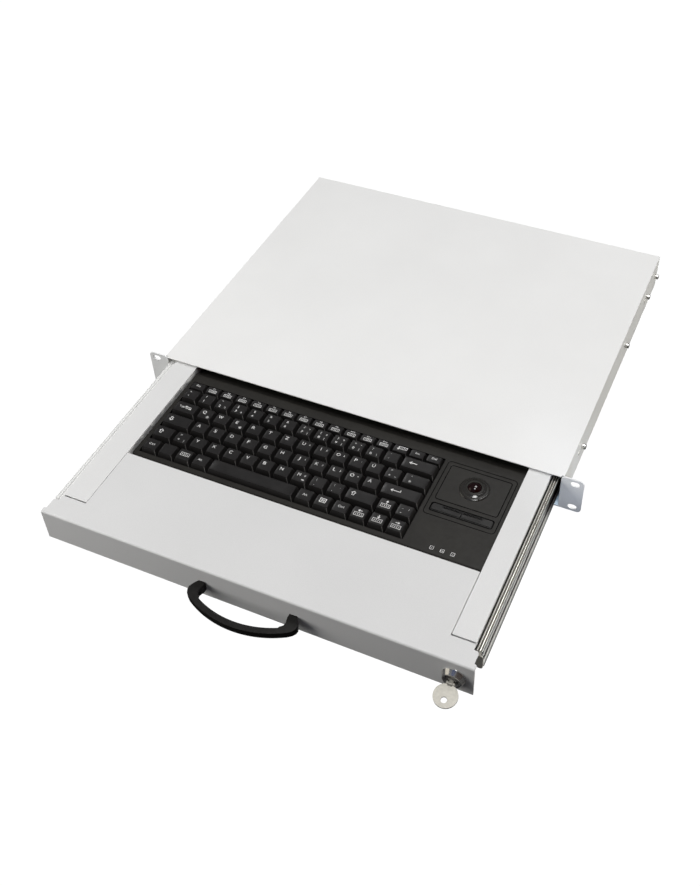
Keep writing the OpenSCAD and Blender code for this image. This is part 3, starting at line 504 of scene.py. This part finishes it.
def glyph(kind):
    """simple marks centred on 0"""
    out = []
    if kind == "@tag":
        out.append(outline(-4.0, -1.55, 4.0, 1.55, 0.45))
        out += bars(-3.2, 3.2, 0, 1.3, 4, 0.45)
    elif kind == "@frame":
        out.append(outline(-4.6, -1.9, 4.6, 1.9, 0.45))
        out += bars(-3.8, 3.8, 0, 1.6, 4, 0.5)
    elif kind == "@menu":
        out.append(outline(-2.9, -2.3, 2.9, 2.3, 0.6))
        out.append(strip([(-1.5, 0.7), (1.5, 0.7)], 0.6))
        out.append(strip([(-1.5, -0.7), (1.5, -0.7)], 0.6))
    elif kind == "@left":
        out.append(strip([(-3.6, 0), (3.6, 0)], 0.7))
        out.append(strip([(-1.9, 1.3), (-3.6, 0), (-1.9, -1.3)], 0.7))
    elif kind == "@enter":
        out.append(strip([(4.8, 1.6), (4.8, -0.4), (-4.6, -0.4)], 0.7))
        out.append(strip([(-2.9, 0.9), (-4.6, -0.4), (-2.9, -1.7)], 0.7))
    elif kind == "@tab":
        for y, sg in ((1.0, -1), (-1.0, 1)):
            out.append(strip([(-2.8, y), (2.8, y)], 0.55))
            e = 2.8 * sg
            out.append(strip([(e - sg * 1.2, y + 0.85), (e, y), (e - sg * 1.2, y - 0.85)], 0.5))
            out.append(strip([(e + sg * 0.5, y + 0.9), (e + sg * 0.5, y - 0.9)], 0.5))
    elif kind in ("@capu", "@capd"):
        p = [(0, 2.5), (-2.1, 0.5), (-1.0, 0.5), (-1.0, -2.3), (1.0, -2.3), (1.0, 0.5), (2.1, 0.5), (0, 2.5)]
        if kind == "@capd":
            p = [(x, -y) for x, y in p]
        out.append(strip(p, 0.55))
    elif kind in ("@aleft", "@aright", "@aup", "@adown"):
        p = {"@aleft": ((1.8, 0), (-1.8, 0)), "@aright": ((-1.8, 0), (1.8, 0)),
             "@aup": ((0, -1.6), (0, 1.6)), "@adown": ((0, 1.6), (0, -1.6))}[kind]
        (x0, y0), (x1, y1) = p
        dx, dy = (x1 - x0), (y1 - y0)
        l = math.hypot(dx, dy)
        dx, dy = dx / l, dy / l
        out.append(strip([(x0, y0), (x1, y1)], 0.65))
        out.append(strip([(x1 - dx * 1.2 - dy, y1 - dy * 1.2 + dx), (x1, y1), (x1 - dx * 1.2 + dy, y1 - dy * 1.2 - dx)], 0.6))
    elif kind == "@down":
        out.append(strip([(0, 1.6), (0, -2.4)], 0.6))
        out.append(strip([(-1.1, -1.2), (0, -2.4), (1.1, -1.2)], 0.55))
    elif kind == "@curl":
        out.append(strip([(1.1, 0.9), (0.1, 1.2), (-0.8, 0.5), (-0.8, -0.5), (0.1, -1.2), (1.1, -0.9)], 0.55))
        out.append(strip([(-1.4, 0.0), (0.7, 0.0)], 0.5))
    elif kind == "@dot":
        out.append(strip([(-0.7, 0), (0.7, 0)], 1.2))
    v, f = [], []
    for a, b in out:
        k = len(v)
        v += a
        f += [tuple(i + k for i in q) for q in b]
    return v, f


def cap_highlight_line(cap, ev, ef):
    """narrow painted highlight down the front right corner of a cap: a strip of lighter plastic standing in for the
    light the corner catches
    """
    x, y, w, d, zb, zt, side, front, back = cap
    h = zt - zb
    ring = []
    for z in (zt - 0.55, zt - 0.5 - 0.55 * h, zb + 0.9):
        t = (z - zb) / h
        r = 0.35 + 0.3 * t
        hw = w / 2 - side * t
        f, b = front * t, back * t
        hd = (d - f - b) / 2
        cx, cy = x + hw - r, y + (f - b) / 2 - hd + r
        ring.append([(cx + (r + 0.04) * math.cos(a), cy + (r + 0.04) * math.sin(a), z)
                     for a in (math.radians(-84), math.radians(-48), math.radians(-12))])
    k = len(ev)
    for q in ring:
        ev.extend(q)
    for i in range(2):
        for j in range(2):
            a = k + i * 3 + j
            ef.append((a, a + 3, a + 4, a + 1))


for node, caps in KEYS.items():
    body = node + "_body"
    cv, cf, iv, if_, ev, ef = [], [], [], [], [], []
    for cap, leg in caps:
        x, y, w, d, zb, zt, side, front, back = cap
        shape = add_cap(cv, cf, x, y, w, d, zb, zt, side, front, back)
        sx, sy, hw, hd = shape
        cap_highlight_line(cap, ev, ef)
        for ch, size, dx, dy in leg:
            v, f = glyph(ch) if ch[0] == "@" and len(ch) > 1 else text_mesh(ch, size, WIDE.get(ch, 1.05) if size > 2.4 else 1.08)
            v = [(a + x + dx, b + y + dy) for a, b in v]
            k = len(iv)
            iv += [(a, b, top_z(a, b, shape, zt) + 0.05) for a, b in v]
            if_ += [tuple(i + k for i in q) for q in f]
    o = make("caps_" + node, cv, cf, MAT["keycap_black"], body, True, 50)
    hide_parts(node)
    # painted highlight strips down the cap corners
    make("cap_corner_highlight_" + node, ev, ef, M_CAP_HIGHLIGHT, body, True)
    if iv:
        make("legend_" + node, iv, if_, M_INK, body, False)

# ------------------------------------------------------------------ trackball collar, ribs on the buttons, indicator marks
prof = [(15.0, 0.0), (14.8, 0.22), (14.6, 0.42), (14.35, 0.62), (14.1, 0.78), (13.8, 0.91), (13.5, 1.01), (13.2, 1.095), (12.8, 1.20),
        (12.4, 1.31), (12.0, 1.43), (11.6, 1.58), (11.2, 1.77), (10.8, 1.97), (10.4, 2.18), (10.05, 2.37), (9.85, 2.48), (9.6, 2.50),
        (9.0, 2.53), (8.0, 2.56), (7.2, 2.58), (6.62, 2.59), (6.62, 2.2), (6.62, 1.8), (7.0, 0.6)]
v, f = lathe(prof, 128, "Z", (TBX, TBY, KT - 0.03))
make("trackball_collar", v, f, M_COLLAR, "drawer", True, 15)

def seam_shade(name, x0, y0, x1, y1, r, w, body):
    """narrow band of painted shade along a rounded rectangle, laid over both edges of a real gap, w wide on each of its
    four sides (left, front, right, back)
    """
    wl, wf, wr, wb = w
    v, f = [], []
    a = ring_rect((x1 - x0 + wl / 2 + wr / 2) / 2, (y1 - y0 + wf / 2 + wb / 2) / 2, r + 0.3, KT + 0.03,
                  (x0 + x1 - wl / 2 + wr / 2) / 2, (y0 + y1 - wf / 2 + wb / 2) / 2, 6, 10)
    b = ring_rect((x1 - x0 - wl / 2 - wr / 2) / 2, (y1 - y0 - wf / 2 - wb / 2) / 2, max(0.4, r - 0.3), KT + 0.03,
                  (x0 + x1 + wl / 2 - wr / 2) / 2, (y0 + y1 + wf / 2 - wb / 2) / 2, 6, 10)
    n = len(a)
    v = a + b
    for i in range(n):
        k = (i + 1) % n
        f.append((i, k, n + k, n + i))
    make(name, v, f, M_PAINTED_SHADE, body, False)


# painted shade bands over the gaps round the trackball insert, its cover and the button slot
seam_shade("seam_insert", 111.2, -87.3, 181.6, -17.6, 3.5, (0.65, 0.65, 0.65, 0.65), "drawer")
seam_shade("seam_cover", 115.7, -67.0, 177.5, -21.9, 2.2, (0.5, 0.65, 0.55, 0.95), "drawer")
seam_shade("seam_buttons", 115.6, -82.2, 177.4, -72.0, 2.2, (1.0, 1.2, 1.1, 0.8), "drawer")

for side_name, x0, x1 in (("left", 127.2, 145.3), ("right", 146.9, 166.3)):
    v, f = [], []
    n = 15
    # painted shade: dark line along the fold of the button's front lip
    make("pad_line_" + side_name, [(x0 - 0.8, -79.15, KT + 0.125), (x1 + 0.2, -79.15, KT + 0.125), (x1 + 0.2, -78.7, KT + 0.125),
                                   (x0 - 0.8, -78.7, KT + 0.125)], [(0, 1, 2, 3)], M_PAINTED_SHADE, "button_" + side_name, False)
    for i in range(n):
        cx = x0 + (x1 - x0) * (i + 0.5) / n
        rings = [ring_rect(0.32, 1.15, 0.25, KT + 0.05, cx, -74.5, 3, 1), ring_rect(0.30, 1.12, 0.25, KT + 0.34, cx, -74.5, 3, 1),
                 ring_rect(0.15, 0.95, 0.12, KT + 0.48, cx, -74.5, 3, 1)]
        loft(rings, v, f)
    # painted shade: dark bed under the ribs
    make("rib_bed_" + side_name, [(x0, -75.75, KT + 0.14), (x1, -75.75, KT + 0.14), (x1, -73.25, KT + 0.14), (x0, -73.25, KT + 0.14)],
         [(0, 1, 2, 3)], M_PAINTED_SHADE, "button_" + side_name, False)
    # low pad below the ribs
    cx, hw = (x0 + x1) / 2, (x1 - x0) / 2
    loft([ring_rect(hw, 1.75, 0.6, KT + 0.05, cx, -77.6, 4, 6), ring_rect(hw - 0.05, 1.7, 0.6, KT + 0.22, cx, -77.6, 4, 6),
          ring_rect(hw - 0.25, 1.5, 0.5, KT + 0.30, cx, -77.6, 4, 6), ring_rect(hw - 0.6, 1.15, 0.4, KT + 0.24, cx, -77.6, 4, 6)], v, f)
    make("ribs_" + side_name, v, f, MAT["button_black"], "button_" + side_name, True, 40)

iv, if_ = [], []
for i, ch in enumerate(("1", "A", "x")):
    cx, cy = 135.2 + i * 10.2, -122.9
    marks = [outline(cx - 1.65, cy - 1.75, cx + 1.65, cy + 1.75, 0.42)]
    v, f = text_mesh(ch, 1.8)
    marks.append(([(a + cx, b + cy) for a, b in v], f))
    for v, f in marks:
        k = len(iv)
        iv += [(a, b, KT + 0.05) for a, b in v]
        if_ += [tuple(j + k for j in q) for q in f]
make("indicator_marks", iv, if_, M_INK, "drawer", False)

# ------------------------------------------------------------------ front edge of the housing floor beside the right ear, with painted light: a light-blue glow that fades towards the back
FLOOR_Z = -20.27
m_, nt_, bs_ = new_mat("floor_edge_glow")
geo_ = nt_.nodes.new("ShaderNodeNewGeometry")
sx_ = nt_.nodes.new("ShaderNodeSeparateXYZ")
nt_.links.new(geo_.outputs["Position"], sx_.inputs[0])
mr_ = nt_.nodes.new("ShaderNodeMapRange")
mr_.inputs["From Min"].default_value = 0.001
mr_.inputs["From Max"].default_value = 0.014
mr_.inputs["To Min"].default_value = 0.34
mr_.inputs["To Max"].default_value = 0.0
nt_.links.new(sx_.outputs[1], mr_.inputs["Value"])
bs_.inputs["Base Color"].default_value = (0.80, 0.84, 0.88, 1)
bs_.inputs["Roughness"].default_value = 0.5
bs_.inputs["Emission Color"].default_value = (0.55, 0.78, 1.0, 1)
nt_.links.new(mr_.outputs[0], bs_.inputs["Emission Strength"])
make("floor_edge", [(210, -1.45, FLOOR_Z), (221.2, -1.45, FLOOR_Z), (221.2, 15, FLOOR_Z), (210, 15, FLOOR_Z)], [(0, 1, 2, 3)], m_, "housing", False)

# ------------------------------------------------------------------ lines along the lower ball race of the right slide: a painted shade line and a painted highlight line
for sg in (1,):
    for k_, (xa, xb, mat_) in enumerate(((212.25, 213.35, M_STEEL_SHADE), (213.85, 214.75, M_LIP_HIGHLIGHT))):
        n = 12
        v, f = [], []
        for i in range(n + 1):
            y = FY + 21 + 7.5 + (345 - 8.0) * i / n
            v += [(sg * xa, y, -14.47), (sg * xb, y, -14.47)]
            if i:
                b = 2 * i
                f.append((b - 2, b - 1, b + 1, b) if sg > 0 else (b, b + 1, b - 1, b - 2))
        make("race_line_%d_%d" % (sg, k_), v, f, mat_, "drawer", False)

# ------------------------------------------------------------------ lock bezel
prof = [(11.24, 0.0), (11.24, 0.80), (11.2, 0.98), (11.08, 1.12), (9.95, 3.1), (8.78, 5.25), (8.66, 5.42), (8.48, 5.5), (7.62, 5.5),
        (7.45, 5.43), (7.34, 5.3), (6.2, 4.25), (6.04, 3.9)]
v, f = lathe(prof, 128, "Y", (LX, FY - 0.05, LZ))
make("lock_bezel", v, f, MAT["lock_chrome"], "drawer", True, 60)

# ------------------------------------------------------------------ floor, light, camera
def area(name, loc, target, size, power, col=(1, 1, 1), size_y=None):
    li = bpy.data.lights.new(name, "AREA")
    li.energy = power
    li.size = size
    if size_y:
        li.shape = "RECTANGLE"
        li.size_y = size_y
    li.color = col
    o = bpy.data.objects.new(name, li)
    bpy.context.scene.collection.objects.link(o)
    o.location = loc
    d = Vector(target) - Vector(loc)
    o.rotation_euler = d.to_track_quat("-Z", "Y").to_euler()
    return o


def spot(name, loc, target, cone, power, col):
    li = bpy.data.lights.new(name, "SPOT")
    li.energy = power
    li.spot_size = math.radians(cone)
    li.spot_blend = 0.5
    li.shadow_soft_size = 0.04
    li.color = col
    o = bpy.data.objects.new(name, li)
    bpy.context.scene.collection.objects.link(o)
    o.location = loc
    o.rotation_euler = (Vector(target) - Vector(loc)).to_track_quat("-Z", "Y").to_euler()
    return o


area("top_back", (0.47, 1.25, 2.60), (0.05, 0.05, 0), 1.1, 36.6, (1.0, 0.996, 0.99))
area("top_front", (0.42, -0.50, 2.75), (0.05, 0.0, 0), 0.8, 22.1, (1.0, 0.996, 0.99))
fills = [area("right_box", (2.2, 0.45, 0.30), (0.2, 0.2, 0), 0.7, 27, (1.0, 0.985, 0.93)),
         area("left_front", (-0.95, -0.80, 0.50), (-0.12, -0.2, 0), 0.95, 11.3, (1.0, 0.99, 0.965)),
         spot("ear_spot", (0.75, -0.75, 0.30), (0.2345, 0.0, 0.0), 5.0, 19.5, (0.80, 0.87, 1.0))]
for o in fills:
    o.visible_glossy = False

world = bpy.data.worlds.new("studio")
bpy.context.scene.world = world
world.use_nodes = True
wn = world.node_tree
wn.nodes.clear()
wo = wn.nodes.new("ShaderNodeOutputWorld")
bg = wn.nodes.new("ShaderNodeBackground")
tc = wn.nodes.new("ShaderNodeTexCoord")
sep = wn.nodes.new("ShaderNodeSeparateXYZ")
wn.links.new(tc.outputs["Generated"], sep.inputs[0])
rp = wn.nodes.new("ShaderNodeValToRGB")
rp.color_ramp.elements[0].position = 0.0
rp.color_ramp.elements[0].color = (0.018, 0.022, 0.034, 1)
rp.color_ramp.elements[1].position = 0.85
rp.color_ramp.elements[1].color = (0.105, 0.11, 0.125, 1)
wn.links.new(sep.outputs[2], rp.inputs[0])


def patch(below, direction, lo, hi, col):
    """blend a coloured patch of the room into the background, round a direction"""
    d = Vector(direction).normalized()
    dp = wn.nodes.new("ShaderNodeVectorMath")
    dp.operation = "DOT_PRODUCT"
    dp.inputs[1].default_value = d
    wn.links.new(tc.outputs["Generated"], dp.inputs[0])
    mr = wn.nodes.new("ShaderNodeMapRange")
    mr.interpolation_type = "SMOOTHSTEP"
    mr.inputs["From Min"].default_value = lo
    mr.inputs["From Max"].default_value = hi
    wn.links.new(dp.outputs["Value"], mr.inputs["Value"])
    mx = wn.nodes.new("ShaderNodeMix")
    mx.data_type = "RGBA"
    wn.links.new(mr.outputs[0], mx.inputs["Factor"])
    wn.links.new(below, mx.inputs["A"])
    mx.inputs["B"].default_value = (*col, 1)
    return mx.outputs["Result"]


sky = patch(rp.outputs[0], (0.72, -0.40, 0.45), 0.78, 0.93, (0.022, 0.010, 0.006))
sky = patch(sky, (-0.10, -0.46, 0.88), 0.945, 0.988, (0.026, 0.044, 0.12))
sky = patch(sky, (-0.87, -0.28, 0.36), 0.92, 0.97, (0.70, 0.66, 0.56))
wn.links.new(sky, bg.inputs[0])
bg.inputs[1].default_value = 1.0
wn.links.new(bg.outputs[0], wo.inputs[0])

me = bpy.data.meshes.new("floor")
me.from_pydata([(-9, -9, -0.0219), (9, -9, -0.0219), (9, 9, -0.0219), (-9, 9, -0.0219)], [], [(0, 1, 2, 3)])
floor = bpy.data.objects.new("floor", me)
bpy.context.scene.collection.objects.link(floor)
fm, fnt, fbs = new_mat("floor_white")
fnt.nodes.remove(fbs)
out = [n for n in fnt.nodes if n.type == "OUTPUT_MATERIAL"][0]
dif = fnt.nodes.new("ShaderNodeBsdfDiffuse")
fnt.links.new(ramp(fnt, noise(fnt, 3, 3), (0.03, 0.03, 0.031), (0.034, 0.034, 0.035)), dif.inputs[0])
em = fnt.nodes.new("ShaderNodeEmission")
em.inputs[1].default_value = 1.2
lp = fnt.nodes.new("ShaderNodeLightPath")
k = fnt.nodes.new("ShaderNodeMath")
k.operation = "MULTIPLY"
k.inputs[1].default_value = 0.86
fnt.links.new(lp.outputs["Is Camera Ray"], k.inputs[0])
ms = fnt.nodes.new("ShaderNodeMixShader")
fnt.links.new(k.outputs[0], ms.inputs[0])
fnt.links.new(dif.outputs[0], ms.inputs[1])
fnt.links.new(em.outputs[0], ms.inputs[2])
fnt.links.new(ms.outputs[0], out.inputs[0])
me.materials.append(fm)

cam = bpy.data.cameras.new("camera")
co = bpy.data.objects.new("camera", cam)
bpy.context.scene.collection.objects.link(co)
R = Vector((0.91272, 0.40801, -0.02181)).normalized()
F = Vector((-0.30768, 0.65121, -0.69373)).normalized()
D = F.cross(R).normalized()
R = D.cross(F).normalized()
co.matrix_world = Matrix(((R.x, -D.x, -F.x, 0.36356), (R.y, -D.y, -F.y, -0.70997), (R.z, -D.z, -F.z, 0.81687), (0, 0, 0, 1)))
cam.sensor_width = 36
cam.sensor_fit = "AUTO"
cam.lens = 45.316
cam.shift_x = -0.0316
cam.shift_y = -0.0576
cam.clip_start = 0.05
cam.clip_end = 60
bpy.context.scene.camera = co
bpy.context.scene.view_settings.view_transform = "Standard"
